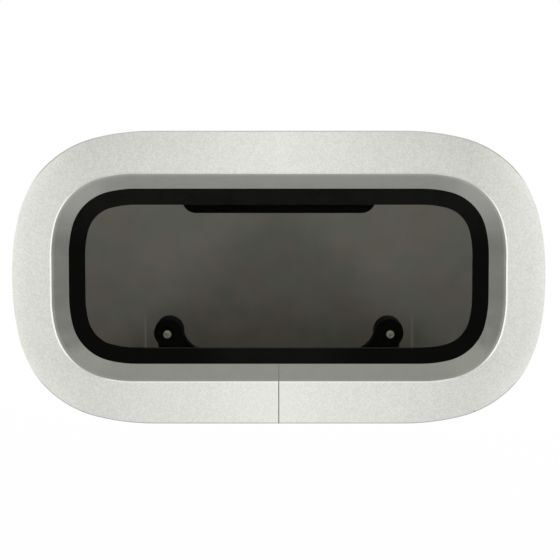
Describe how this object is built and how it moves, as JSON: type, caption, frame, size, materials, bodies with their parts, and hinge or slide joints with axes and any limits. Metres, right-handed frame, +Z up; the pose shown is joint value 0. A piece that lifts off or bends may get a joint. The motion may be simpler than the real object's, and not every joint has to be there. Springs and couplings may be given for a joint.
{
  "type": "opening boat portlight",
  "caption": "Rectangular boat portlight with rounded ends: flanged bent aluminium frame, rubber seal, smoked pane hinged at the top and latched at the bottom, inner trim ring.",
  "frame": {"origin": "middle of the flange's back face, in the plane that bears on the hull's outer skin", "axes": "+X along the width, +Y inboard through the hull, +Z up, with the hinge at the top"},
  "size_m": [0.45, 0.0445, 0.2476],
  "materials": {
    "anodised": "satin blasted and clear anodised",
    "seal_rubber": "matt",
    "smoked_acrylic": "polished, smoke tinted",
    "black_moulding": "fine moulded texture",
    "stainless": "turned"
  },
  "bodies": {
    "frame": {"outer_frame": "anodised", "lip_seal": "seal_rubber", "lens": "smoked_acrylic", "hinge_frame_leaf": "black_moulding", "hinge_lens_leaf": "black_moulding", "hinge_pin": "stainless", "inner_trim_ring": "anodised", "latch_base_left": "black_moulding", "latch_washer_left": "black_moulding", "latch_end_washer_left": "stainless", "latch_spindle_left": "stainless", "latch_nut_left": "stainless", "keeper_left": "black_moulding", "latch_base_right": "black_moulding", "latch_washer_right": "black_moulding", "latch_end_washer_right": "stainless", "latch_spindle_right": "stainless", "latch_nut_right": "stainless", "keeper_right": "black_moulding"},
    "lever_left": {"latch_lever_left": "black_moulding"},
    "lever_right": {"latch_lever_right": "black_moulding"}
  },
  "joints": [
    {"name": "latch_left", "type": "hinge", "parent": "frame", "child": "lever_left", "pos_m": [-0.0952, 0.0289, -0.04995], "axis": [0, -1, 0], "range_deg": [0, 90]},
    {"name": "latch_right", "type": "hinge", "parent": "frame", "child": "lever_right", "pos_m": [0.0952, 0.0289, -0.04995], "axis": [0, 1, 0], "range_deg": [0, 90]}
  ]
}
